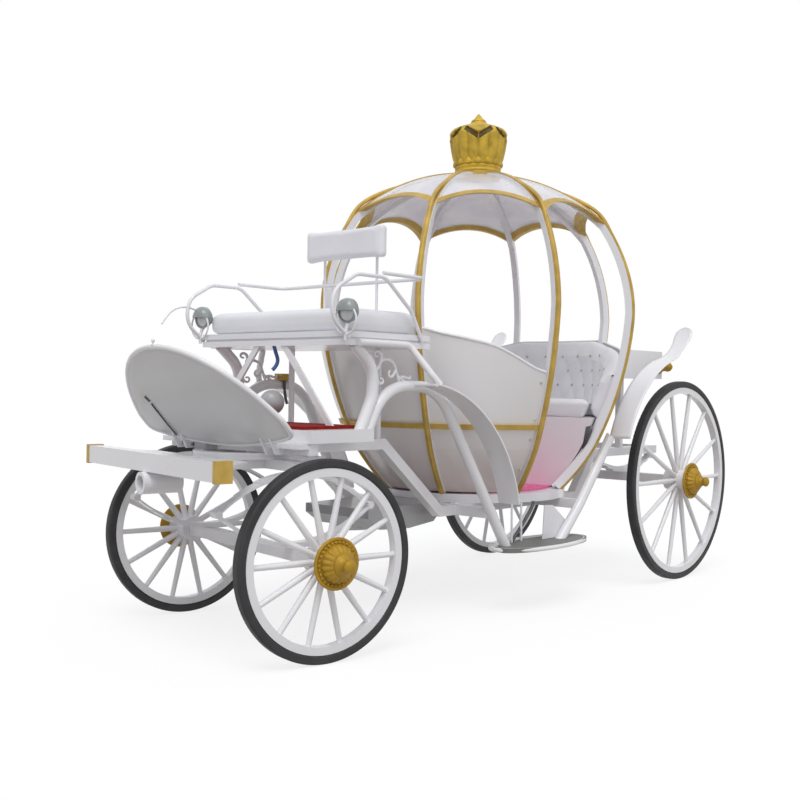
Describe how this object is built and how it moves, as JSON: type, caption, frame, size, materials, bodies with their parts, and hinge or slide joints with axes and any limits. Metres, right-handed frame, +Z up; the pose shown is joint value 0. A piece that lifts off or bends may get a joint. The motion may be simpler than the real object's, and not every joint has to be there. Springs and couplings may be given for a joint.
{
  "type": "pumpkin carriage",
  "caption": "Horse-drawn wedding carriage: ribbed pumpkin-shaped cabin with seats, box seat with dash, steered fore-carriage and spoked wheels.",
  "frame": {"origin": "On the ground, in the middle of the whole length and width, with the fore-carriage at its parked angle.", "axes": "+Z up; the carriage faces -Y, so +Y runs to its rear; its left side is +X"},
  "size_m": [1.7706, 4.0418, 2.6983],
  "materials": {
    "white_frame": "gloss",
    "gold": "satin",
    "pearl": "satin",
    "skirt": "gloss",
    "tyre": "matt",
    "white_leather": "soft satin",
    "carpet": "pile",
    "red_mat": "pile",
    "silver": "satin",
    "lamp": "gloss"
  },
  "bodies": {
    "carriage": {"body_panels": "skirt", "boot_posts": "white_frame", "brake_box": "silver", "cabin_ribs": "white_frame", "carpet": "carpet", "crown": "gold", "dash": "white_frame", "dash_brackets": "silver", "driver_backrest": "white_leather", "driver_cushion": "white_leather", "driver_platform": "white_frame", "floor_mat": "red_mat", "floor_pan": "white_frame", "front_arch_tubes": "white_frame", "front_back": "white_leather", "front_bench": "white_frame", "front_cushion": "white_leather", "front_mudguards": "white_frame", "guard_rails": "white_frame", "lamps": "lamp", "main_frame": "white_frame", "rear_arch_tubes": "white_frame", "rear_axle": "white_frame", "rear_back": "white_leather", "rear_bench": "white_frame", "rear_boot": "white_frame", "rear_cushion": "white_leather", "rear_mudguards": "white_frame", "rear_springs": "white_frame", "rib_trim": "gold", "roof_hoops": "gold", "roof_panels": "pearl", "seat_arms": "white_frame", "seat_back_rail": "white_frame", "seat_base": "white_frame", "seat_braces": "white_frame", "seat_legs": "white_frame", "step_boards": "white_frame", "top_plate": "gold", "upper_turntable": "white_frame", "waist_band": "gold"},
    "fore_carriage": {"fore_bed": "white_frame", "front_axle": "white_frame", "front_springs": "white_frame", "splinter_bar": "white_frame", "bar_caps": "gold", "pole_socket": "white_frame", "fore_deck": "white_frame"},
    "front_left_wheel_body": {"front_left_wheel": "white_frame", "front_left_tyre": "tyre", "front_left_hub_cap": "gold"},
    "front_right_wheel_body": {"front_right_wheel": "white_frame", "front_right_tyre": "tyre", "front_right_hub_cap": "gold"},
    "rear_left_wheel_body": {"rear_left_wheel": "white_frame", "rear_left_tyre": "tyre", "rear_left_hub_cap": "gold"},
    "rear_right_wheel_body": {"rear_right_wheel": "white_frame", "rear_right_tyre": "tyre", "rear_right_hub_cap": "gold"}
  },
  "joints": [
    {"name": "steering", "type": "hinge", "parent": "carriage", "child": "fore_carriage", "pos_m": [0, -1.39409, 0.828], "axis": [0, 0, 1], "range_deg": [-24.4, 45.6]},
    {"name": "front_left_wheel_spin", "type": "hinge", "parent": "fore_carriage", "child": "front_left_wheel_body", "pos_m": [0.60647, -1.50759, 0.42], "axis": [0.9829, -0.184, 0], "continuous": true},
    {"name": "front_right_wheel_spin", "type": "hinge", "parent": "fore_carriage", "child": "front_right_wheel_body", "pos_m": [-0.60647, -1.28059, 0.42], "axis": [0.9829, -0.184, 0], "continuous": true},
    {"name": "rear_left_wheel_spin", "type": "hinge", "parent": "carriage", "child": "rear_left_wheel_body", "pos_m": [0.692, 1.42091, 0.6], "axis": [1, 0, 0], "continuous": true},
    {"name": "rear_right_wheel_spin", "type": "hinge", "parent": "carriage", "child": "rear_right_wheel_body", "pos_m": [-0.692, 1.42091, 0.6], "axis": [1, 0, 0], "continuous": true}
  ]
}
